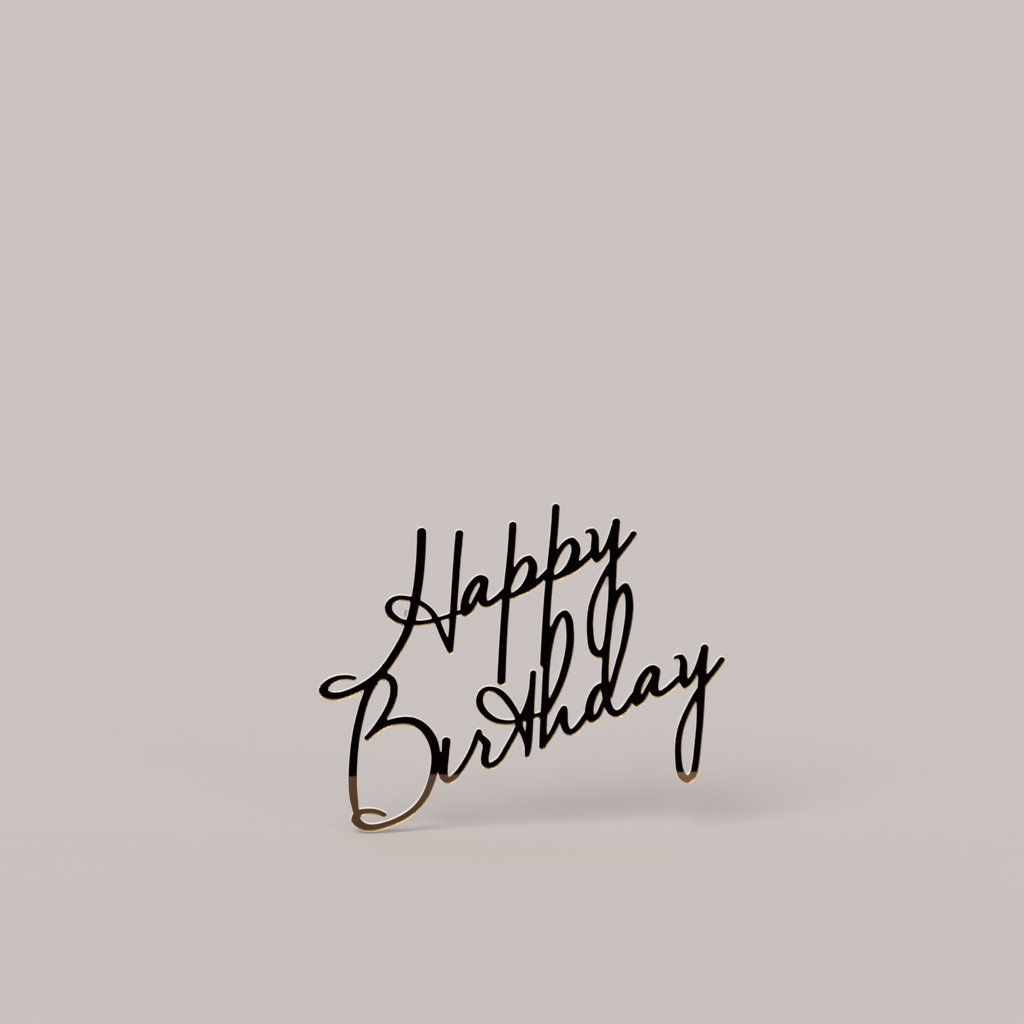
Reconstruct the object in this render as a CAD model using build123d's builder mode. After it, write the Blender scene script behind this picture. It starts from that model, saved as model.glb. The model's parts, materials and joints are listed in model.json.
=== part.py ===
"""A front-facing cake topper: a greeting in joined-up script, cut from one sheet of mirrored acrylic.

The sheet stands upright and faces -Y. Behind its clear acrylic lie a gold mirror coat and a coat of back
paint, and clear pegs with pointed ends are cemented to the back.
The origin lies on the back of the paint, in the middle of the greeting, and +Z is up.
"""

from build123d import *
import os

# The lettering. Each point of a stroke is two shares of these, across and upwards from its letter's place.
LETTER_RUN = 32.0
LETTER_RISE = 32.6
# How wide the pen is. The third number of each point is a share of this.
PEN_WIDTH = 2.75
# On the inside of a turn, a stroke's edge goes at most this share of the way to the turn's centre
INNER_TURN_SHARE = 0.75
# A span of a stroke's side whose height is a smaller share of its length than this is drawn straight
STRAIGHT_SHARE = 0.002

# The layers of the sheet, from the face to the back
ACRYLIC_THICKNESS = 1.8
MIRROR_THICKNESS = 0.1
PAINT_THICKNESS = 0.1

# The pegs, and the pad of cement that each stands on
PEG_DIAMETER = 2.0
PEG_LENGTH = 30.0
PEG_POINT_LENGTH = 6.0
PEG_POINT_FLAT = 0.4
CEMENT_REACH = 0.45
CEMENT_THICKNESS = 0.3

# Where each letter stands, as shares of LETTER_RUN and LETTER_RISE from the middle of the greeting
LETTER_PLACE_SHARES = [
    ("H", (-1.00, 0.50)),
    ("a", (-0.40, 0.70)),
    ("p", (-0.10, 0.70)),
    ("p", (0.329, 0.876)),
    ("y", (0.788, 1.10)),
    ("B", (-1.20, -0.80)),
    ("i", (-0.70, -1.00)),
    ("r", (-0.30, -0.90)),
    ("t", (0.10, -0.50)),
    ("h", (0.30, -0.50)),
    ("d", (0.80, -0.40)),
    ("a", (1.333, -0.207)),
    ("y", (1.69, -0.16)),
]

# The pegs stand where strokes meet, as shares of LETTER_RUN and LETTER_RISE
PEG_PLACE_SHARES = {
    "upper_left": (-1.133, 0.46),
    "upper_right": (0.898, 0.775),
    "lower_left": (-0.83, -0.91),
    "lower_middle": (0.06, -0.50),
}

H_SHARES = [
    # The first stem, whose tail sweeps down to the left
    [
        (-0.013, 0.85, 1.25),
        (-0.018, 0.65, 1.25),
        (-0.037, 0.40, 1.25),
        (-0.091, 0.075, 1.22),
        (-0.17, -0.175, 1.18),
        (-0.285, -0.375, 1.15),
        (-0.415, -0.55, 1.14),
        (-0.58, -0.672, 1.06),
        (-0.76, -0.756, 1.04),
        (-0.90, -0.776, 1.12),
        (-0.965, -0.752, 1.22),
        (-0.988, -0.715, 1.24),
    ],
    # The curl at the end of the tail
    [(-0.978, -0.685, 1.14), (-0.92, -0.631, 0.94), (-0.81, -0.592, 0.80), (-0.68, -0.60, 0.70)],
    # The second stem
    [(0.364, 0.833, 1.09), (0.335, 0.475, 1.03), (0.309, 0.075, 0.97), (0.28, -0.33, 0.84)],
    # The slanting stroke from the first stem to the foot of the second
    [
        (-0.075, 0.173, 0.80),
        (0.0, 0.135, 0.80),
        (0.08, 0.07, 0.82),
        (0.14, -0.02, 0.84),
        (0.19, -0.135, 0.86),
        (0.24, -0.245, 0.86),
        (0.272, -0.315, 0.80),
    ],
    # The loop and the crossbar
    [
        (-0.07, 0.18, 0.76),
        (-0.12, 0.188, 0.76),
        (-0.22, 0.20, 0.78),
        (-0.305, 0.17, 0.92),
        (-0.342, 0.105, 1.02),
        (-0.295, 0.015, 0.98),
        (-0.22, -0.032, 0.88),
        (-0.12, -0.05, 0.80),
        (0.0, -0.05, 0.77),
        (0.18, -0.012, 0.77),
        (0.38, 0.055, 0.77),
        (0.42, 0.07, 0.77),
    ],
]

A_SHARES = [
    # The left of the bowl
    [
        (0.02, 0.18, 0.88),
        (-0.03, 0.192, 0.96),
        (-0.083, 0.15, 1.05),
        (-0.133, 0.075, 1.12),
        (-0.173, -0.035, 1.13),
        (-0.183, -0.14, 1.08),
    ],
    # The right of the bowl
    [
        (-0.172, -0.158, 1.0),
        (-0.12, -0.115, 0.92),
        (-0.08, -0.045, 0.86),
        (-0.038, 0.035, 0.84),
        (0.0, 0.12, 0.80),
    ],
    # The stem
    [(0.018, 0.165, 1.13), (0.006, 0.085, 1.2), (-0.004, 0.005, 1.2), (0.008, -0.045, 1.15)],
    # The foot
    [
        (0.008, -0.05, 1.13),
        (0.05, -0.065, 1.02),
        (0.11, -0.038, 0.96),
        (0.18, 0.019, 0.95),
        (0.245, 0.085, 0.95),
    ],
]

P_SHARES = [
    # The stem
    [
        (-0.003, 0.715, 1.05),
        (-0.025, 0.375, 1.05),
        (-0.064, -0.025, 1.06),
        (-0.09, -0.425, 1.08),
        (-0.106, -0.835, 1.15),
    ],
    # The bowl, going up
    [
        (-0.04, 0.095, 0.76),
        (0.0, 0.205, 0.78),
        (0.05, 0.30, 0.84),
        (0.11, 0.365, 0.92),
        (0.165, 0.383, 1.0),
    ],
    # The bowl, coming down
    [
        (0.175, 0.37, 1.06),
        (0.198, 0.325, 1.2),
        (0.198, 0.255, 1.3),
        (0.165, 0.165, 1.25),
        (0.11, 0.09, 1.08),
        (0.04, 0.035, 0.97),
        (-0.05, 0.01, 0.85),
    ],
    # The foot
    [
        (0.03, 0.035, 0.86),
        (0.12, 0.067, 0.93),
        (0.20, 0.112, 0.96),
        (0.28, 0.177, 0.96),
        (0.37, 0.268, 0.96),
    ],
]

Y_SHARES = [
    # The hook
    [(-0.144, 0.249, 0.68), (-0.118, 0.258, 0.72), (-0.09, 0.256, 0.84)],
    # The arm
    [
        (-0.082, 0.246, 0.88),
        (-0.067, 0.205, 1.02),
        (-0.066, 0.144, 1.12),
        (-0.067, 0.054, 1.14),
        (-0.054, -0.005, 1.1),
    ],
    # From the foot of the arm up to the stem
    [
        (-0.044, -0.028, 1.0),
        (0.003, 0.015, 0.90),
        (0.038, 0.07, 0.86),
        (0.071, 0.145, 0.80),
        (0.097, 0.22, 0.78),
        (0.12, 0.30, 0.78),
    ],
    # The stem and the right of the loop below it
    [
        (0.144, 0.344, 1.1),
        (0.128, 0.13, 1.1),
        (0.113, -0.17, 1.1),
        (0.105, -0.42, 1.0),
        (0.083, -0.676, 1.0),
        (0.06, -0.87, 1.0),
        (0.03, -0.945, 1.05),
        (-0.015, -0.972, 1.06),
    ],
    # The left of the loop, and the tick
    [
        (-0.005, -0.972, 1.1),
        (-0.042, -0.958, 1.1),
        (-0.076, -0.915, 1.06),
        (-0.099, -0.83, 0.98),
        (-0.11, -0.676, 0.93),
        (-0.09, -0.476, 0.92),
        (-0.016, -0.28, 0.90),
        (0.10, -0.07, 0.92),
        (0.25, 0.126, 0.94),
        (0.318, 0.224, 0.92),
    ],
]

B_SHARES = [
    # The stem
    [
        (-0.28, 0.655, 1.05),
        (-0.332, 0.575, 1.1),
        (-0.405, 0.375, 1.1),
        (-0.451, 0.175, 1.12),
        (-0.479, -0.025, 1.12),
        (-0.492, -0.275, 1.14),
        (-0.489, -0.425, 1.16),
        (-0.477, -0.525, 1.08),
        (-0.46, -0.63, 0.84),
    ],
    # The upper bowl
    [
        (-0.30, 0.645, 1.0),
        (-0.24, 0.70, 1.02),
        (-0.17, 0.717, 1.04),
        (-0.11, 0.685, 1.06),
        (-0.083, 0.615, 1.06),
        (-0.101, 0.475, 1.06),
        (-0.145, 0.375, 1.04),
        (-0.207, 0.275, 1.0),
        (-0.28, 0.175, 0.95),
        (-0.347, 0.105, 0.87),
    ],
    # The lower bowl
    [
        (-0.33, 0.12, 0.84),
        (-0.27, 0.173, 0.90),
        (-0.16, 0.239, 0.95),
        (-0.02, 0.272, 1.1),
        (0.11, 0.265, 1.18),
        (0.22, 0.20, 1.24),
        (0.305, 0.08, 1.3),
        (0.34, -0.09, 1.2),
        (0.313, -0.275, 1.04),
        (0.25, -0.455, 0.96),
        (0.12, -0.625, 0.92),
        (-0.05, -0.73, 0.90),
        (-0.21, -0.785, 0.93),
        (-0.335, -0.797, 1.02),
        (-0.42, -0.764, 1.18),
        (-0.46, -0.715, 1.22),
    ],
    # The curl at the end of the bowl
    [
        (-0.455, -0.684, 1.14),
        (-0.415, -0.646, 0.96),
        (-0.345, -0.632, 0.84),
        (-0.255, -0.638, 0.80),
        (-0.175, -0.672, 0.76),
    ],
]

I_SHARES = [
    # The head and the stem
    [
        (-0.055, 0.265, 1.19),
        (-0.062, 0.175, 1.08),
        (-0.074, 0.075, 1.2),
        (-0.085, -0.025, 1.26),
        (-0.074, -0.095, 1.16),
    ],
    # The foot
    [
        (-0.06, -0.115, 1.04),
        (-0.015, -0.122, 1.0),
        (0.03, -0.09, 0.93),
        (0.085, -0.025, 0.86),
        (0.149, 0.075, 0.84),
        (0.202, 0.175, 0.85),
        (0.24, 0.275, 0.87),
        (0.272, 0.355, 0.90),
    ],
]

R_SHARES = [
    # The shoulder
    [(-0.128, 0.25, 0.88), (-0.10, 0.195, 1.0), (-0.06, 0.155, 1.12), (-0.047, 0.13, 1.15)],
    # The stem
    [(-0.047, 0.135, 1.12), (-0.055, 0.07, 1.12), (-0.067, 0.0, 1.1), (-0.062, -0.055, 1.06)],
    # The foot, which runs up into the t
    [
        (-0.062, -0.058, 0.98),
        (-0.025, -0.082, 0.98),
        (0.04, -0.06, 0.95),
        (0.09, -0.015, 0.87),
        (0.14, 0.07, 0.84),
        (0.20, 0.175, 0.84),
        (0.255, 0.285, 0.84),
        (0.296, 0.375, 0.92),
        (0.335, 0.455, 0.98),
        (0.364, 0.54, 0.86),
        (0.387, 0.635, 0.78),
        (0.40, 0.735, 0.70),
    ],
]

T_SHARES = [
    # The stem
    [
        (0.013, 0.443, 0.88),
        (0.003, 0.275, 0.92),
        (-0.006, 0.125, 0.97),
        (-0.015, -0.025, 0.98),
        (-0.022, -0.175, 1.0),
        (-0.032, -0.305, 0.98),
        (-0.041, -0.38, 0.75),
    ],
    # The slanting stroke up from the stem's foot, and the top of the loop
    [
        (-0.04, -0.325, 0.62),
        (-0.066, -0.215, 0.74),
        (-0.105, -0.105, 0.78),
        (-0.137, 0.0, 0.84),
        (-0.185, 0.09, 0.93),
        (-0.24, 0.17, 0.98),
        (-0.32, 0.25, 0.96),
        (-0.405, 0.286, 0.80),
        (-0.475, 0.272, 0.90),
        (-0.514, 0.225, 0.95),
        (-0.524, 0.17, 0.95),
    ],
    # The foot of the loop, and the crossbar
    [
        (-0.523, 0.19, 0.99),
        (-0.516, 0.125, 1.0),
        (-0.465, 0.045, 0.98),
        (-0.39, -0.015, 0.92),
        (-0.30, -0.045, 0.80),
        (-0.20, -0.048, 0.75),
        (-0.10, -0.03, 0.76),
        (0.0, 0.0, 0.76),
        (0.09, 0.03, 0.76),
        (0.13, 0.047, 0.76),
    ],
]

LOW_H_SHARES = [
    # The right of the loop
    [
        (-0.085, 0.005, 0.97),
        (-0.035, 0.09, 1.02),
        (0.06, 0.275, 1.05),
        (0.13, 0.475, 1.08),
        (0.173, 0.675, 1.1),
        (0.182, 0.80, 1.1),
        (0.176, 0.91, 1.08),
        (0.155, 1.0, 1.05),
        (0.13, 1.035, 1.02),
    ],
    # The left of the loop and the stem
    [
        (0.12, 1.036, 0.95),
        (0.085, 1.015, 0.94),
        (0.05, 0.965, 0.93),
        (0.012, 0.87, 0.93),
        (-0.018, 0.75, 0.93),
        (-0.047, 0.575, 0.98),
        (-0.064, 0.275, 0.98),
        (-0.078, -0.025, 1.0),
        (-0.086, -0.29, 1.0),
    ],
    # The hump, going up
    [
        (-0.075, -0.27, 0.84),
        (-0.005, -0.175, 0.84),
        (0.05, -0.065, 0.86),
        (0.095, 0.04, 0.90),
        (0.122, 0.085, 0.90),
    ],
    # The hump, coming down
    [(0.126, 0.085, 0.95), (0.128, 0.015, 1.06), (0.131, -0.065, 1.06), (0.155, -0.13, 1.04)],
    # The foot
    [
        (0.155, -0.138, 0.94),
        (0.197, -0.152, 0.96),
        (0.243, -0.125, 0.95),
        (0.288, -0.075, 0.93),
        (0.34, 0.0, 0.93),
        (0.385, 0.07, 0.93),
    ],
]

D_SHARES = [
    # The left of the bowl
    [
        (0.04, 0.205, 0.95),
        (-0.01, 0.205, 1.02),
        (-0.055, 0.165, 1.12),
        (-0.095, 0.085, 1.19),
        (-0.12, -0.02, 1.2),
        (-0.115, -0.10, 1.2),
    ],
    # The right of the bowl
    [
        (-0.095, -0.122, 1.1),
        (-0.045, -0.10, 0.92),
        (0.0, -0.015, 0.79),
        (0.04, 0.09, 0.76),
        (0.05, 0.155, 0.80),
    ],
    # The right of the loop
    [
        (0.08, 0.10, 0.90),
        (0.115, 0.225, 0.92),
        (0.175, 0.455, 0.95),
        (0.21, 0.575, 0.96),
        (0.25, 0.775, 1.04),
        (0.274, 0.975, 1.12),
        (0.27, 1.07, 1.1),
        (0.255, 1.155, 1.05),
        (0.23, 1.205, 1.0),
    ],
    # The left of the loop and the stem
    [
        (0.222, 1.203, 0.98),
        (0.185, 1.165, 0.97),
        (0.135, 1.075, 0.92),
        (0.10, 0.955, 0.88),
        (0.075, 0.825, 0.88),
        (0.05, 0.60, 0.95),
        (0.036, 0.375, 1.02),
        (0.04, 0.175, 1.06),
        (0.066, 0.025, 1.06),
        (0.098, -0.04, 1.04),
    ],
    # The foot
    [
        (0.11, -0.05, 1.1),
        (0.165, -0.067, 1.08),
        (0.23, -0.025, 0.98),
        (0.28, 0.045, 0.93),
        (0.34, 0.13, 0.93),
    ],
]

LETTER_SHARES = {
    "H": H_SHARES,
    "a": A_SHARES,
    "p": P_SHARES,
    "y": Y_SHARES,
    "B": B_SHARES,
    "i": I_SHARES,
    "r": R_SHARES,
    "t": T_SHARES,
    "h": LOW_H_SHARES,
    "d": D_SHARES,
}

# Where the back of the acrylic lies, measured from the origin towards the viewer
acrylic_start = PAINT_THICKNESS + MIRROR_THICKNESS

# Where a peg's tip and its point start, measured from the origin away from the viewer
tip_start = CEMENT_THICKNESS + PEG_LENGTH
point_start = tip_start - PEG_POINT_LENGTH


def on_sheet(across_share, up_share):
    """A place on the sheet, in millimetres."""
    return Vector(across_share * LETTER_RUN, up_share * LETTER_RISE)


def pen_stop(line, stop, half):
    """One stop of the pen on its line: its middle, its heading, and its reach to the left and to the right.

    On the inside of a tight turn the reach ends before the turn's own centre.
    """
    heading = line.tangent_at(stop)
    speed = line.derivative_at(stop, 1)
    pull = line.derivative_at(stop, 2)
    bend = (speed.X * pull.Y - speed.Y * pull.X) / speed.length**3
    inside = min(half, INNER_TURN_SHARE / abs(bend)) if bend else half
    left, right = (inside, half) if bend > 0 else (half, inside)
    return line.position_at(stop), heading, left, right


def pen_stops(stroke, place):
    """The pen's stops along a stroke, at each of its points and half-way between."""
    middles = [on_sheet(place[0] + across, place[1] + up) for across, up, pen in stroke]
    halves = [pen * PEN_WIDTH / 2 for across, up, pen in stroke]
    line = Edge.make_spline(middles)
    marks = [line.param_at_point(middle) for middle in middles]
    stops = [pen_stop(line, marks[0], halves[0])]
    for index in range(1, len(marks)):
        between = (marks[index - 1] + marks[index]) / 2
        stops.append(pen_stop(line, between, (halves[index - 1] + halves[index]) / 2))
        stops.append(pen_stop(line, marks[index], halves[index]))
    return stops


def draw_span(start, middle, end):
    """One span of a stroke's side: an arc, or a line where it is as good as straight."""
    chord = end - start
    to_middle = middle - start
    height = abs(chord.X * to_middle.Y - chord.Y * to_middle.X) / chord.length
    if height < STRAIGHT_SHARE * chord.length:
        Line(start, end)
    else:
        ThreePointArc(start, middle, end)


def stroke_band(stroke, place):
    """The band that the pen leaves along one stroke, with round ends."""
    stops = pen_stops(stroke, place)
    left_side = [middle + heading.rotate(Axis.Z, 90) * left for middle, heading, left, right in stops]
    right_side = [middle - heading.rotate(Axis.Z, 90) * right for middle, heading, left, right in stops]
    first_middle, first_heading, first_left, first_right = stops[0]
    last_middle, last_heading, last_left, last_right = stops[-1]
    first_tip = first_middle - first_heading * max(first_left, first_right)
    last_tip = last_middle + last_heading * max(last_left, last_right)
    with BuildLine() as outline:
        for index in range(2, len(stops), 2):
            draw_span(*left_side[index - 2 : index + 1])
            draw_span(*right_side[index - 2 : index + 1])
        ThreePointArc(left_side[-1], last_tip, right_side[-1])
        ThreePointArc(right_side[0], first_tip, left_side[0])
    return make_face(outline.line)


bands = [
    stroke_band(stroke, place) for letter, place in LETTER_PLACE_SHARES for stroke in LETTER_SHARES[letter]
]

# The outline of the whole greeting, flat
with BuildSketch() as greeting:
    add(bands)

os.makedirs("parts", exist_ok=True)

# The clear sheet that faces the viewer
with BuildPart() as acrylic_sheet:
    with BuildSketch(Plane.XZ.offset(acrylic_start)):
        add(greeting.sketch)
    extrude(amount=ACRYLIC_THICKNESS)
acrylic_sheet.part.label = "acrylic_sheet"
export_step(acrylic_sheet.part, "parts/acrylic_sheet.step")

# The gold coat behind it
with BuildPart() as mirror_coat:
    with BuildSketch(Plane.XZ.offset(PAINT_THICKNESS)):
        add(greeting.sketch)
    extrude(amount=MIRROR_THICKNESS)
mirror_coat.part.label = "mirror_coat"
export_step(mirror_coat.part, "parts/mirror_coat.step")

# The paint that guards the gold coat
with BuildPart() as back_paint:
    with BuildSketch(Plane.XZ):
        add(greeting.sketch)
    extrude(amount=PAINT_THICKNESS)
back_paint.part.label = "back_paint"
export_step(back_paint.part, "parts/back_paint.step")

# The pads of cement, and the pegs that stand on them
for name, place_share in PEG_PLACE_SHARES.items():
    foot = on_sheet(*place_share)
    peg_plane = Plane((foot.X, 0, foot.Y), x_dir=(1, 0, 0), z_dir=(0, 0, 1))

    with BuildPart() as cement_pad:
        with BuildSketch(peg_plane):
            with BuildLine():
                Polyline(
                    (0, 0),
                    (PEG_DIAMETER / 2 + CEMENT_REACH, 0),
                    (PEG_DIAMETER / 2, CEMENT_THICKNESS),
                    (0, CEMENT_THICKNESS),
                    close=True,
                )
            make_face()
        revolve(axis=Axis(peg_plane.origin, peg_plane.y_dir))
    cement_pad.part.label = f"cement_pad_{name}"
    export_step(cement_pad.part, f"parts/cement_pad_{name}.step")

    with BuildPart() as peg:
        with BuildSketch(peg_plane):
            with BuildLine():
                Polyline(
                    (0, CEMENT_THICKNESS),
                    (PEG_DIAMETER / 2, CEMENT_THICKNESS),
                    (PEG_DIAMETER / 2, point_start),
                    (PEG_POINT_FLAT / 2, tip_start),
                    (0, tip_start),
                    close=True,
                )
            make_face()
        revolve(axis=Axis(peg_plane.origin, peg_plane.y_dir))
    peg.part.label = f"peg_{name}"
    export_step(peg.part, f"parts/peg_{name}.step")
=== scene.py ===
"""Dresses the script cake topper: its clear sheet, gold mirror coat, back paint, pegs and pads of cement."""

import json
import math

import bmesh
import bpy
from bpy.props import FloatProperty, FloatVectorProperty, IntProperty, PointerProperty
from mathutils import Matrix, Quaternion, Vector


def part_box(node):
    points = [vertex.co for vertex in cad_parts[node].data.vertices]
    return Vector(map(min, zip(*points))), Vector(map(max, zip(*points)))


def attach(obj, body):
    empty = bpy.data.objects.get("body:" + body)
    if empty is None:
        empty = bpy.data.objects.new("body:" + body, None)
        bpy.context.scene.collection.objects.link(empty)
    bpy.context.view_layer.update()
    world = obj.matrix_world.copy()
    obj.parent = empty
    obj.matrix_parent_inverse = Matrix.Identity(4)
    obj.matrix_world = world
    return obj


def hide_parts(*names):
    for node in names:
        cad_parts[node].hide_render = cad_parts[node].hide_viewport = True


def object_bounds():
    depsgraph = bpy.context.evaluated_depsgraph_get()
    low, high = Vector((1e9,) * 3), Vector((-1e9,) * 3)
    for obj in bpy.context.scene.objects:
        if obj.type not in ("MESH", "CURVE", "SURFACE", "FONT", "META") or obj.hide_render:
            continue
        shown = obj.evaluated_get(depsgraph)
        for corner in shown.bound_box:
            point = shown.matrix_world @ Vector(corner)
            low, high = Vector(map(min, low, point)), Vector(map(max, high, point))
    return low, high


bl_info = {
    "name": "Script Cake Topper",
    "version": (1, 0, 0),
    "blender": (4, 5, 0),
    "location": "View3D > Sidebar > Cake Topper",
    "description": "Builds the looks of a mirrored acrylic cake topper around its solids",
    "category": "Object",
}

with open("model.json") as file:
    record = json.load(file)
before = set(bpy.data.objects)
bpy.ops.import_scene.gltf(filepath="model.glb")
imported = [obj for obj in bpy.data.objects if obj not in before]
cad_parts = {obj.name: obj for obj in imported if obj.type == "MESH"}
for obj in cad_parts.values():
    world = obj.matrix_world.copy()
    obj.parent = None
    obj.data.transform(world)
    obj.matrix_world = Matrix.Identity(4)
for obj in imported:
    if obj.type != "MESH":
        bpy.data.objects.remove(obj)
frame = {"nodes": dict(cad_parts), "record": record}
CAD_LOW, CAD_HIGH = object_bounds()
BODY = "root"
NODES = frame["nodes"]
PEG_NODES = sorted(name for name in NODES if name.startswith("peg_"))
PAD_NODES = sorted(name for name in NODES if name.startswith("cement_pad_"))
MOUNTS = {mount["name"]: mount for mount in frame["record"]["mounts"]}
PEG_SHAFT_LENGTH = MOUNTS[PEG_NODES[0]]["dims"]["length_mm"] / 1000
# Vertices of the solids that are nearer to each other than this are one vertex
MERGE_DISTANCE = 1e-5
# The same for the vertices of a spun piece, which meet at its axis
SPIN_MERGE_DISTANCE = 1e-6
# The sheet's finishes, in the order of its materials
CLEAR, WALL, RIM = range(3)
# A face of the sheet is its front or its back where its normal runs this far along Y, and else a wall
FACING = 0.9
# Faces that meet at more than these angles have a crease between them
CREASE_ANGLE = math.radians(50)
PEG_CREASE_ANGLE = math.radians(30)
PAD_CREASE_ANGLE = math.radians(40)
# How far the sheet's back reaches into the coat behind it, so that no two faces lie in one place
COAT_OVERLAP_SHARE = 0.1
# The rim's two steps, from the wall to the face: how far each goes in, and how deep its outer side lies
RIM_STEP_SHARES = ((0.3, 1.0), (0.7, 0.3))
# How the edge at a peg's foot is rounded, between its two ends
PEG_FOOT_SHARE = 0.3
# How a peg's tip is domed: a radius and a distance below the end, as shares of the flat end's radius
PEG_TIP_SHARES = ((1.0, 0.6), (0.6, 0.15))
# Heights at which a pad's hollow side is drawn, and how hollow it is
PAD_HEIGHT_SHARES = (0.0, 0.15, 0.4, 0.7, 1.0)
PAD_HOLLOW = 1.6


class TopperSheetSettings(bpy.types.PropertyGroup):
    """The clear acrylic sheet and its cut edges."""

    rim_width: FloatProperty(
        name="Rim width",
        description="Width of the melted rim that the laser leaves along the face's edges",
        default=0.00014,
        unit="LENGTH",
    )
    clear_color: FloatVectorProperty(
        name="Clear acrylic",
        description="Tint of the clear acrylic",
        subtype="COLOR",
        default=(0.97, 0.96, 0.94),
    )
    wall_color: FloatVectorProperty(
        name="Cut wall",
        description="Colour of the hazy walls that the laser leaves",
        subtype="COLOR",
        default=(0.96, 0.93, 0.89),
    )
    rim_color: FloatVectorProperty(
        name="Rim",
        description="Colour of the frosted rim along the face's edges",
        subtype="COLOR",
        default=(0.97, 0.94, 0.91),
    )
    wall_clearness: FloatProperty(
        name="Wall clearness",
        description="Share of the light that passes through the cut walls",
        subtype="FACTOR",
        default=0.25,
    )
    rim_clearness: FloatProperty(
        name="Rim clearness",
        description="Share of the light that passes through the frosted rim",
        subtype="FACTOR",
        default=0.1,
    )
    ior: FloatProperty(
        name="Index of refraction",
        description="How strongly the acrylic bends light",
        default=1.49,
    )


class TopperCoatSettings(bpy.types.PropertyGroup):
    """The gold mirror coat and the paint behind it."""

    gold_color: FloatVectorProperty(
        name="Gold",
        description="Colour of the mirror coat",
        subtype="COLOR",
        default=(0.88, 0.67, 0.36),
    )
    paint_color: FloatVectorProperty(
        name="Back paint",
        description="Colour of the protective paint",
        subtype="COLOR",
        default=(0.36, 0.33, 0.29),
    )
    paint_dark_color: FloatVectorProperty(
        name="Back paint, thin",
        description="Colour of the protective paint where it lies thin",
        subtype="COLOR",
        default=(0.29, 0.255, 0.21),
    )


class TopperPegSettings(bpy.types.PropertyGroup):
    """The clear pegs and the pads of cement that they stand on."""

    peg_color: FloatVectorProperty(
        name="Peg",
        description="Tint of the clear pegs",
        subtype="COLOR",
        default=(0.93, 0.95, 0.95),
    )
    cement_color: FloatVectorProperty(
        name="Cement",
        description="Tint of the set cement",
        subtype="COLOR",
        default=(0.9, 0.87, 0.78),
    )
    edge_round: FloatProperty(
        name="Edge rounding",
        description="Radius of the rounded edges at a peg's ends",
        default=0.00012,
        unit="LENGTH",
    )
    sides: IntProperty(
        name="Sides",
        description="Number of flat sides that make a round peg or pad",
        default=48,
    )


class TopperStageSettings(bpy.types.PropertyGroup):
    """The floor, the light and the camera."""

    azimuth: FloatProperty(
        name="Azimuth",
        description="How far the camera stands to the right of the topper's front",
        subtype="ANGLE",
        default=math.radians(-4),
    )
    elevation: FloatProperty(
        name="Elevation",
        description="How far the camera stands above the topper",
        subtype="ANGLE",
        default=math.radians(10.6),
    )
    roll: FloatProperty(
        name="Roll",
        description="How far the camera leans to the left",
        subtype="ANGLE",
        default=math.radians(0.43),
    )
    distance: FloatProperty(
        name="Distance",
        description="Distance from the camera to the topper",
        default=1.85,
        unit="LENGTH",
    )
    picture_width: FloatProperty(
        name="Picture width",
        description="Width that the picture takes in at the topper",
        default=0.3285,
        unit="LENGTH",
    )
    origin_share: FloatVectorProperty(
        name="Place in the picture",
        description="Where the topper's middle lies, as shares of the picture from its left and its top",
        size=2,
        default=(0.5106, 0.6509),
    )
    floor_color: FloatVectorProperty(
        name="Floor",
        description="Colour of the floor",
        subtype="COLOR",
        default=(0.56, 0.51, 0.49),
    )
    floor_drop: FloatProperty(
        name="Floor drop",
        description="How far the floor lies below the topper",
        default=0.0005,
        unit="LENGTH",
    )
    floor_reach: FloatProperty(
        name="Floor reach",
        description="How far the floor runs from the topper",
        default=12.0,
        unit="LENGTH",
    )
    # Painted reflection: the face mirrors this nearly black glowing card in place of a dark room
    dark_reflection_color: FloatVectorProperty(
        name="Dark card",
        description="Colour of the card that the face mirrors",
        subtype="COLOR",
        default=(0.0015, 0.0008, 0.0008),
    )
    # Painted reflection: the lowest strokes mirror this dim brown glowing card, which turns pinker towards
    # its far side
    near_reflection_color: FloatVectorProperty(
        name="Near card",
        description="Colour of the near side of the card that the lowest strokes mirror",
        subtype="COLOR",
        default=(0.094, 0.059, 0.035),
    )
    middle_reflection_color: FloatVectorProperty(
        name="Near card, far side",
        description="Colour of the far side of the card that the lowest strokes mirror",
        subtype="COLOR",
        default=(0.117, 0.08, 0.092),
    )
    # Painted reflection: the last loop mirrors this dim pink glowing card
    right_reflection_color: FloatVectorProperty(
        name="Right card",
        description="Colour of the card that the last loop mirrors",
        subtype="COLOR",
        default=(0.2, 0.15, 0.14),
    )
    near_reach: FloatProperty(
        name="Near card reach",
        description="How far the near and right cards run in front of the topper",
        default=0.094,
        unit="LENGTH",
    )
    card_width: FloatProperty(
        name="Card width",
        description="Width of the cards that the face mirrors",
        default=1.4,
        unit="LENGTH",
    )
    card_turn: FloatProperty(
        name="Card turn",
        description="How far the left half of the dark card's edge is turned",
        subtype="ANGLE",
        default=math.radians(7.5),
    )
    world_strength: FloatProperty(
        name="Sky strength",
        description="Strength of the even light from all round",
        default=0.6,
    )
    key_place: FloatVectorProperty(
        name="Key light place",
        description="Where the soft light from the upper left stands",
        subtype="TRANSLATION",
        unit="LENGTH",
        default=(-0.8, -1.3, 1.3),
    )
    key_strength: FloatProperty(
        name="Key light",
        description="Strength of the soft light from the upper left",
        default=2.0,
    )
    fill_place: FloatVectorProperty(
        name="Fill light place",
        description="Where the soft low light from the right stands",
        subtype="TRANSLATION",
        unit="LENGTH",
        default=(1.0, -1.4, 0.3),
    )
    fill_strength: FloatProperty(
        name="Fill light",
        description="Strength of the soft low light from the right",
        default=0.8,
    )
    light_spread: FloatProperty(
        name="Light spread",
        description="How wide the two soft lights look from the topper",
        subtype="ANGLE",
        default=math.radians(40),
    )


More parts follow.
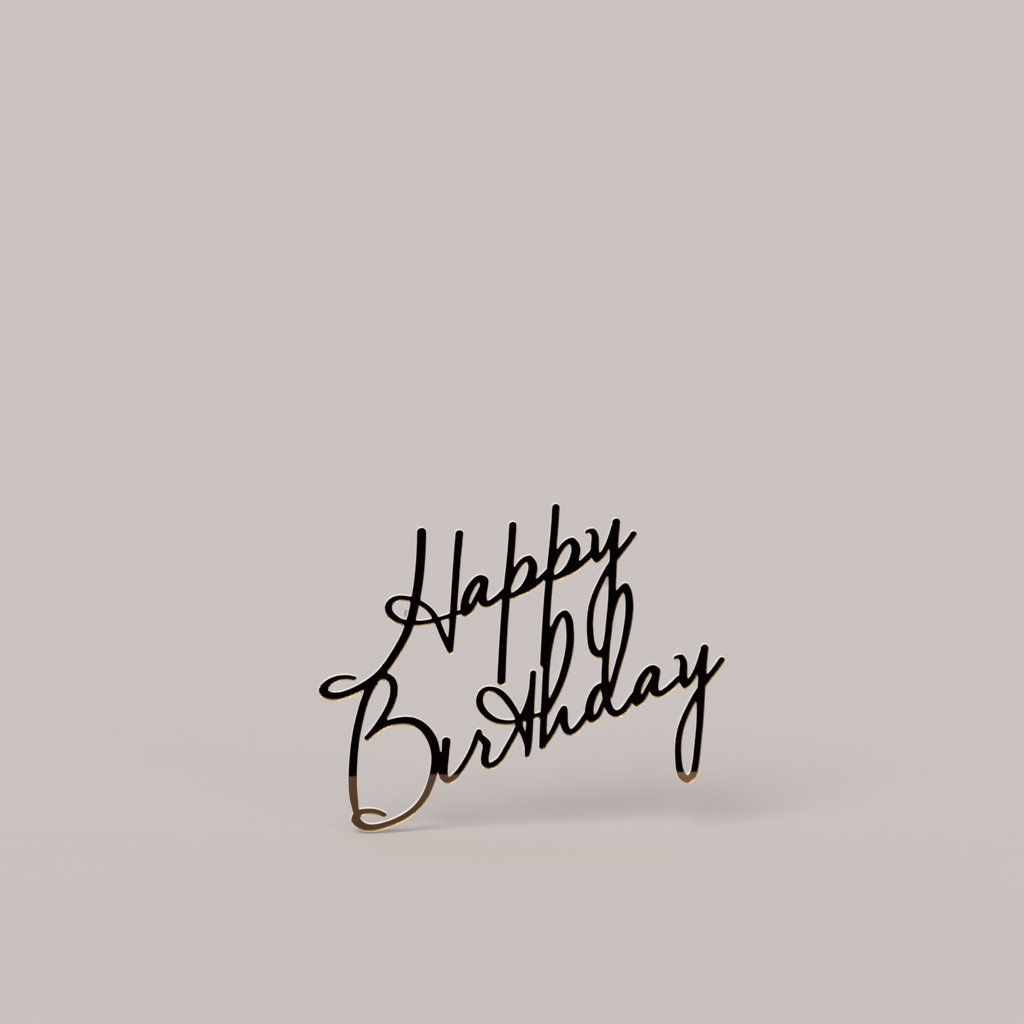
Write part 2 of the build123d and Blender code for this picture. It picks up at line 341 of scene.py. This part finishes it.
def start_material(name):
    """A new material with its tree, its shader and the coordinates that its patterns read."""
    material = bpy.data.materials.new(name)
    material.use_nodes = True
    tree = material.node_tree
    coordinates = tree.nodes.new("ShaderNodeTexCoord").outputs["Object"]
    return material, tree, tree.nodes["Principled BSDF"], coordinates


def stretch(tree, vector, scale):
    """The coordinates, stretched along each axis."""
    mapping = tree.nodes.new("ShaderNodeMapping")
    mapping.inputs["Scale"].default_value = scale
    tree.links.new(vector, mapping.inputs["Vector"])
    return mapping.outputs["Vector"]


def cloudy(tree, vector, scale, detail):
    """A soft random pattern."""
    noise = tree.nodes.new("ShaderNodeTexNoise")
    noise.inputs["Scale"].default_value = scale
    noise.inputs["Detail"].default_value = detail
    tree.links.new(vector, noise.inputs["Vector"])
    return noise.outputs["Fac"]


def between(tree, factor, low, high, start=0.35, end=0.65):
    """A pattern turned into values from low to high."""
    span = tree.nodes.new("ShaderNodeMapRange")
    span.inputs["From Min"].default_value = start
    span.inputs["From Max"].default_value = end
    span.inputs["To Min"].default_value = low
    span.inputs["To Max"].default_value = high
    tree.links.new(factor, span.inputs["Value"])
    return span.outputs["Result"]


def blend_colors(tree, factor, first, second):
    """A pattern turned into a blend of two colours."""
    mix = tree.nodes.new("ShaderNodeMix")
    mix.data_type = "RGBA"
    mix.inputs["A"].default_value = (*first, 1)
    mix.inputs["B"].default_value = (*second, 1)
    tree.links.new(factor, mix.inputs["Factor"])
    return mix.outputs["Result"]


def roughen(tree, shader, height, strength, distance):
    """Gives the shader a bumpy surface."""
    bump = tree.nodes.new("ShaderNodeBump")
    bump.inputs["Strength"].default_value = strength
    bump.inputs["Distance"].default_value = distance
    tree.links.new(height, bump.inputs["Height"])
    tree.links.new(bump.outputs["Normal"], shader.inputs["Normal"])


def clear_acrylic(name, color, ior):
    """Polished clear acrylic with faint smears."""
    material, tree, shader, coordinates = start_material(name)
    shader.inputs["Base Color"].default_value = (*color, 1)
    shader.inputs["Transmission Weight"].default_value = 1.0
    shader.inputs["IOR"].default_value = ior
    smears = cloudy(tree, coordinates, scale=90, detail=4)
    tree.links.new(between(tree, smears, low=0.0, high=0.008), shader.inputs["Roughness"])
    return material


def cut_acrylic(name, color, ior, clearness):
    """Laser-cut acrylic: hazy, with fine lines straight through the sheet."""
    material, tree, shader, coordinates = start_material(name)
    shader.inputs["Base Color"].default_value = (*color, 1)
    shader.inputs["Transmission Weight"].default_value = clearness
    shader.inputs["IOR"].default_value = ior
    lines = cloudy(tree, stretch(tree, coordinates, (1.0, 0.02, 1.0)), scale=2500, detail=2)
    tree.links.new(between(tree, lines, low=0.25, high=0.45), shader.inputs["Roughness"])
    roughen(tree, shader, lines, strength=0.25, distance=0.0001)
    return material


def gold_mirror(color):
    """A gold mirror coat with the slight waviness of acrylic mirrors."""
    material, tree, shader, coordinates = start_material("gold_mirror_coat")
    shader.inputs["Base Color"].default_value = (*color, 1)
    shader.inputs["Metallic"].default_value = 1.0
    waves = cloudy(tree, coordinates, scale=45, detail=1)
    specks = cloudy(tree, coordinates, scale=1800, detail=3)
    tree.links.new(between(tree, specks, low=0.01, high=0.03), shader.inputs["Roughness"])
    roughen(tree, shader, waves, strength=0.02, distance=0.002)
    return material


def sprayed_paint(color, thin_color):
    """Sprayed paint: mottled where it lies thin, with a fine pebbled surface."""
    material, tree, shader, coordinates = start_material("sprayed_back_paint")
    mottle = between(tree, cloudy(tree, coordinates, scale=160, detail=6), low=0, high=1)
    tree.links.new(blend_colors(tree, mottle, color, thin_color), shader.inputs["Base Color"])
    pebbles = cloudy(tree, coordinates, scale=3500, detail=3)
    tree.links.new(between(tree, pebbles, low=0.45, high=0.65), shader.inputs["Roughness"])
    roughen(tree, shader, pebbles, strength=0.3, distance=0.00008)
    return material


def drawn_rod(color, ior):
    """Clear acrylic rod with the faint lines that drawing leaves along it."""
    material, tree, shader, coordinates = start_material("peg_rod")
    shader.inputs["Base Color"].default_value = (*color, 1)
    shader.inputs["Transmission Weight"].default_value = 0.92
    shader.inputs["IOR"].default_value = ior
    lines = cloudy(tree, stretch(tree, coordinates, (1.0, 0.03, 1.0)), scale=3000, detail=2)
    tree.links.new(between(tree, lines, low=0.05, high=0.16), shader.inputs["Roughness"])
    roughen(tree, shader, lines, strength=0.12, distance=0.0001)
    return material


def ground_point(color, ior):
    """The frosted point that is ground on a rod, with rings from the grinding."""
    material, tree, shader, coordinates = start_material("peg_point")
    shader.inputs["Base Color"].default_value = (*color, 1)
    shader.inputs["Transmission Weight"].default_value = 0.6
    shader.inputs["IOR"].default_value = ior
    rings = cloudy(tree, stretch(tree, coordinates, (0.1, 1.0, 0.1)), scale=5000, detail=2)
    tree.links.new(between(tree, rings, low=0.35, high=0.55), shader.inputs["Roughness"])
    roughen(tree, shader, rings, strength=0.35, distance=0.0001)
    return material


def set_cement(color, ior):
    """Set cement: nearly clear, a little hazy, with small flaws in it."""
    material, tree, shader, coordinates = start_material("set_cement")
    shader.inputs["Base Color"].default_value = (*color, 1)
    shader.inputs["Transmission Weight"].default_value = 0.55
    shader.inputs["IOR"].default_value = ior
    flaws = cloudy(tree, coordinates, scale=2200, detail=3)
    tree.links.new(between(tree, flaws, low=0.12, high=0.35), shader.inputs["Roughness"])
    roughen(tree, shader, flaws, strength=0.2, distance=0.0001)
    return material


def matte(name, color):
    """A plain matt surface for the stage."""
    material, _, shader, _ = start_material(name)
    shader.inputs["Base Color"].default_value = (*color, 1)
    shader.inputs["Roughness"].default_value = 0.9
    shader.inputs["Specular IOR Level"].default_value = 0.1
    return material


def painted_reflection_glow(name, far_color, near_reflection_color, reach):
    """A glowing card whose colours are painted reflections: it shows its own colours, from its far side to
    its near side, whatever light falls on it.
    """
    material, tree, shader, coordinates = start_material(name)
    tree.nodes.remove(shader)
    place = tree.nodes.new("ShaderNodeSeparateXYZ")
    tree.links.new(coordinates, place.inputs["Vector"])
    share = between(tree, place.outputs["Y"], low=0, high=1, start=-reach, end=0)
    emission = tree.nodes.new("ShaderNodeEmission")
    tree.links.new(blend_colors(tree, share, far_color, near_reflection_color), emission.inputs["Color"])
    tree.links.new(emission.outputs["Emission"], tree.nodes["Material Output"].inputs["Surface"])
    return material


def finish_mesh(name, shape, materials):
    """Turns a bmesh into an object at the origin with these materials."""
    mesh = bpy.data.meshes.new(name)
    shape.to_mesh(mesh)
    shape.free()
    for material in materials:
        mesh.materials.append(material)
    piece = bpy.data.objects.new(name, mesh)
    bpy.context.scene.collection.objects.link(piece)
    return piece


def smooth_piece(piece, angle):
    """Shades a piece smooth, with sharp edges where its faces meet at more than this angle."""
    piece.data.shade_smooth()
    piece.data.set_sharp_from_angle(angle=angle)


def spin_profile(points, centre, sides):
    """A solid of revolution about the line through centre along Y, from points given as (radius, y)."""
    shape = bmesh.new()
    verts = [shape.verts.new((centre.x + radius, y, centre.z)) for radius, y in points]
    edges = [shape.edges.new(pair) for pair in zip(verts, verts[1:])]
    bmesh.ops.spin(
        shape,
        geom=[*verts, *edges],
        cent=centre,
        axis=(0, 1, 0),
        angle=math.tau,
        steps=sides,
        use_merge=True,
    )
    bmesh.ops.remove_doubles(shape, verts=shape.verts, dist=SPIN_MERGE_DISTANCE)
    bmesh.ops.recalc_face_normals(shape, faces=shape.faces)
    return shape


def ride_for(piece, node):
    """Lets a piece stand for a node of the solids: ties it to the body and hides the node."""
    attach(piece, BODY)
    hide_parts(node)


class TOPPER_OT_cut_sheet(bpy.types.Operator):
    """Cut the clear sheet, with a melted rim along its face and frosted walls"""

    bl_idname = "topper.cut_sheet"
    bl_label = "Cut Sheet"

    def execute(self, context):
        settings = context.scene.topper_sheet
        coat_front, coat_back = (corner.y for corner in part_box("mirror_coat"))
        shape = bmesh.new()
        shape.from_mesh(NODES["acrylic_sheet"].data)
        bmesh.ops.remove_doubles(shape, verts=shape.verts, dist=MERGE_DISTANCE)
        for face in shape.faces:
            face.material_index = CLEAR if abs(face.normal.y) > FACING else WALL
            face.smooth = True
        self.round_rim(shape, settings.rim_width)
        # The face stays flat up to the rim, and the walls are creased only at real corners
        for edge in shape.edges:
            finishes = {face.material_index for face in edge.link_faces}
            edge.smooth = CLEAR not in finishes and edge.calc_face_angle(0) < CREASE_ANGLE
        for vert in shape.verts:
            if vert.co.y > coat_front - MERGE_DISTANCE:
                vert.co.y = coat_front + (coat_back - coat_front) * COAT_OVERLAP_SHARE
        materials = [
            clear_acrylic("clear_sheet", settings.clear_color, settings.ior),
            cut_acrylic("cut_wall", settings.wall_color, settings.ior, settings.wall_clearness),
            cut_acrylic("frosted_rim", settings.rim_color, settings.ior, settings.rim_clearness),
        ]
        sheet = finish_mesh("clear_sheet", shape, materials)
        ride_for(sheet, "acrylic_sheet")
        return {"FINISHED"}

    def round_rim(self, shape, width):
        """Rounds the edges of the face in two steps."""
        face_front = min(vert.co.y for vert in shape.verts)
        front = [face for face in shape.faces if face.normal.y < -FACING]
        for inset_share, drop_share in RIM_STEP_SHARES:
            ring = bmesh.ops.inset_region(
                shape,
                faces=front,
                use_boundary=True,
                use_even_offset=False,
                thickness=width * inset_share,
                depth=0.0,
            )["faces"]
            inner = {vert for face in front for vert in face.verts}
            for face in ring:
                face.material_index = RIM
                for vert in face.verts:
                    if vert not in inner:
                        vert.co.y = face_front + width * drop_share


class TOPPER_OT_lay_mirror_coat(bpy.types.Operator):
    """Give the coat behind the sheet its gold mirror"""

    bl_idname = "topper.lay_mirror_coat"
    bl_label = "Lay Mirror Coat"

    def execute(self, context):
        slots = NODES["mirror_coat"].material_slots
        slots[0].material = gold_mirror(context.scene.topper_coat.gold_color)
        return {"FINISHED"}


class TOPPER_OT_spray_back_paint(bpy.types.Operator):
    """Give the back its sprayed paint"""

    bl_idname = "topper.spray_back_paint"
    bl_label = "Spray Back Paint"

    def execute(self, context):
        settings = context.scene.topper_coat
        slots = NODES["back_paint"].material_slots
        slots[0].material = sprayed_paint(settings.paint_color, settings.paint_dark_color)
        return {"FINISHED"}


class TOPPER_OT_set_pegs(bpy.types.Operator):
    """Make the clear pegs, with rounded edges and ground points"""

    bl_idname = "topper.set_pegs"
    bl_label = "Set Pegs"

    def execute(self, context):
        settings = context.scene.topper_pegs
        ior = context.scene.topper_sheet.ior
        materials = [drawn_rod(settings.peg_color, ior), ground_point(settings.peg_color, ior)]
        for node in PEG_NODES:
            self.make_peg(node, settings, materials)
        return {"FINISHED"}

    def make_peg(self, node, settings, materials):
        """One peg in the place of its solid."""
        low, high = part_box(node)
        centre = (low + high) / 2
        radius = (high.x - low.x) / 2
        point_start = low.y + PEG_SHAFT_LENGTH
        tip = self.tip_radius(node, high.y, centre)
        step = settings.edge_round
        points = [
            (0, low.y),
            (radius - step, low.y),
            (radius - step * PEG_FOOT_SHARE, low.y + step * PEG_FOOT_SHARE),
            (radius, low.y + step),
            (radius, point_start),
            *((tip * out, high.y - tip * down) for out, down in PEG_TIP_SHARES),
            (0, high.y),
        ]
        shape = spin_profile(points, centre, settings.sides)
        for face in shape.faces:
            face.material_index = 1 if face.calc_center_median().y > point_start else 0
        peg = finish_mesh(f"clear_{node}", shape, materials)
        smooth_piece(peg, PEG_CREASE_ANGLE)
        ride_for(peg, node)

    def tip_radius(self, node, end, centre):
        """The radius of the flat at the end of a peg's solid."""
        verts = NODES[node].data.vertices
        return max(vert.co.x - centre.x for vert in verts if vert.co.y > end - MERGE_DISTANCE)


class TOPPER_OT_lay_cement(bpy.types.Operator):
    """Make the pads of cement that the pegs stand on"""

    bl_idname = "topper.lay_cement"
    bl_label = "Lay Cement"

    def execute(self, context):
        settings = context.scene.topper_pegs
        material = set_cement(settings.cement_color, context.scene.topper_sheet.ior)
        for node in PAD_NODES:
            low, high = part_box(node)
            centre = (low + high) / 2
            radius = (high.x - low.x) / 2
            peg_low, peg_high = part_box(node.replace("cement_pad", "peg"))
            top_radius = (peg_high.x - peg_low.x) / 2
            points = [(0, low.y)]
            for share in PAD_HEIGHT_SHARES:
                reach = (radius - top_radius) * (1 - share) ** PAD_HOLLOW
                points.append((top_radius + reach, low.y + (high.y - low.y) * share))
            points.append((0, high.y))
            pad = finish_mesh(f"set_{node}", spin_profile(points, centre, settings.sides), [material])
            smooth_piece(pad, PAD_CREASE_ANGLE)
            ride_for(pad, node)
        return {"FINISHED"}


class TOPPER_OT_set_stage(bpy.types.Operator):
    """Set up the floor, the glowing cards of painted reflection that the mirror shows, the light and the
    camera
    """

    bl_idname = "topper.set_stage"
    bl_label = "Set Stage"

    def execute(self, context):
        settings = context.scene.topper_stage
        context.scene.view_settings.view_transform = "Standard"
        self.lay_floor(settings)
        self.lay_reflection_cards(settings)
        self.light(context.scene, settings)
        self.aim_camera(context.scene, settings)
        return {"FINISHED"}

    def lay_sheet(self, name, corners, height, material):
        """A level sheet with these corners at this height."""
        shape = bmesh.new()
        shape.faces.new([shape.verts.new((x, y, height)) for x, y in corners])
        sheet = finish_mesh(name, shape, [material])
        return sheet

    def lay_floor(self, settings):
        """The floor under the topper."""
        height = CAD_LOW.z - settings.floor_drop
        reach = settings.floor_reach
        corners = [(-reach, -reach), (reach, -reach), (reach, reach), (-reach, reach)]
        self.lay_sheet("floor", corners, height, matte("floor_paint", settings.floor_color))

    def lay_reflection_cards(self, settings):
        """The glowing cards in front of the topper that only its mirror sees: painted reflections, nearly
        black for most of the face and dim brown and pink for the lowest strokes.
        """
        half = settings.card_width / 2
        slant = half * math.tan(settings.card_turn)
        front_left = (-half, slant - settings.near_reach)
        front_middle = (0, -settings.near_reach)
        front_right = (half, -settings.near_reach)
        near_corners = [front_left, front_middle, (0, 0), (-half, 0)]
        right_corners = [front_middle, front_right, (half, 0), (0, 0)]
        far_left, far_right = (-half, -settings.card_width), (half, -settings.card_width)
        dark_corners = [far_left, far_right, front_right, front_middle, front_left]
        cards = [
            ("near_reflection_card", near_corners, settings.middle_reflection_color, settings.near_reflection_color),
            ("right_reflection_card", right_corners, settings.right_reflection_color, settings.right_reflection_color),
            ("dark_reflection_card", dark_corners, settings.dark_reflection_color, settings.dark_reflection_color),
        ]
        height = CAD_LOW.z - settings.floor_drop / 2
        for name, corners, far_color, near_reflection_color in cards:
            material = painted_reflection_glow(name, far_color, near_reflection_color, settings.near_reach)
            card = self.lay_sheet(name, corners, height, material)
            # The cards hold painted reflections only: the camera, the diffuse light and the shadows pass
            # them by
            card.visible_camera = False
            card.visible_diffuse = False
            card.visible_shadow = False

    def light(self, scene, settings):
        """Even light from all round, and two soft lights."""
        world = bpy.data.worlds.new("even_sky")
        world.use_nodes = True
        background = world.node_tree.nodes["Background"]
        background.inputs["Color"].default_value = (1, 1, 1, 1)
        background.inputs["Strength"].default_value = settings.world_strength
        scene.world = world
        spread = settings.light_spread
        self.hang_lamp(scene, "key_light", settings.key_place, settings.key_strength, spread)
        self.hang_lamp(scene, "fill_light", settings.fill_place, settings.fill_strength, spread)

    def hang_lamp(self, scene, name, place, strength, spread):
        """A soft light that falls alike on everything, from the side on which this place lies."""
        data = bpy.data.lights.new(name, "SUN")
        data.energy = strength
        data.angle = spread
        lamp = bpy.data.objects.new(name, data)
        lamp.location = place
        lamp.rotation_euler = lamp.location.to_track_quat("Z", "Y").to_euler()
        scene.collection.objects.link(lamp)

    def aim_camera(self, scene, settings):
        """The camera, aimed so that the topper has its place in the picture."""
        azimuth, elevation = settings.azimuth, settings.elevation
        back = Vector((
            math.sin(azimuth) * math.cos(elevation),
            -math.cos(azimuth) * math.cos(elevation),
            math.sin(elevation),
        ))
        turn = back.to_track_quat("Z", "Y")
        aside = (0.5 - settings.origin_share[0]) * settings.picture_width
        above = (settings.origin_share[1] - 0.5) * settings.picture_width
        aim = turn @ Vector((aside, above, 0))
        data = bpy.data.cameras.new("camera")
        data.lens = data.sensor_width * settings.distance / settings.picture_width
        camera = bpy.data.objects.new("camera", data)
        camera.location = back * settings.distance
        level = (camera.location - aim).to_track_quat("Z", "Y")
        camera.rotation_euler = (level @ Quaternion((0, 0, 1), settings.roll)).to_euler()
        scene.collection.objects.link(camera)
        scene.camera = camera


class TOPPER_PT_panel(bpy.types.Panel):
    """The steps that dress the topper"""

    bl_idname = "TOPPER_PT_panel"
    bl_label = "Cake Topper"
    bl_space_type = "VIEW_3D"
    bl_region_type = "UI"
    bl_category = "Cake Topper"

    def draw(self, context):
        for step in STEPS:
            self.layout.operator(step.bl_idname)
        for name in SETTINGS:
            box = self.layout.box()
            group = getattr(context.scene, name)
            for key in group.__annotations__:
                box.prop(group, key)


STEPS = (
    TOPPER_OT_cut_sheet,
    TOPPER_OT_lay_mirror_coat,
    TOPPER_OT_spray_back_paint,
    TOPPER_OT_set_pegs,
    TOPPER_OT_lay_cement,
    TOPPER_OT_set_stage,
)
SETTINGS = {
    "topper_sheet": TopperSheetSettings,
    "topper_coat": TopperCoatSettings,
    "topper_pegs": TopperPegSettings,
    "topper_stage": TopperStageSettings,
}


def register():
    for cls in (*SETTINGS.values(), *STEPS, TOPPER_PT_panel):
        bpy.utils.register_class(cls)
    for name, cls in SETTINGS.items():
        setattr(bpy.types.Scene, name, PointerProperty(type=cls))


def unregister():
    for name in SETTINGS:
        delattr(bpy.types.Scene, name)
    for cls in reversed((*SETTINGS.values(), *STEPS, TOPPER_PT_panel)):
        bpy.utils.unregister_class(cls)


def main():
    """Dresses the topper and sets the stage."""
    register()
    bpy.ops.topper.cut_sheet()
    bpy.ops.topper.lay_mirror_coat()
    bpy.ops.topper.spray_back_paint()
    bpy.ops.topper.set_pegs()
    bpy.ops.topper.lay_cement()
    bpy.ops.topper.set_stage()


if __name__ == "__main__":
    main()
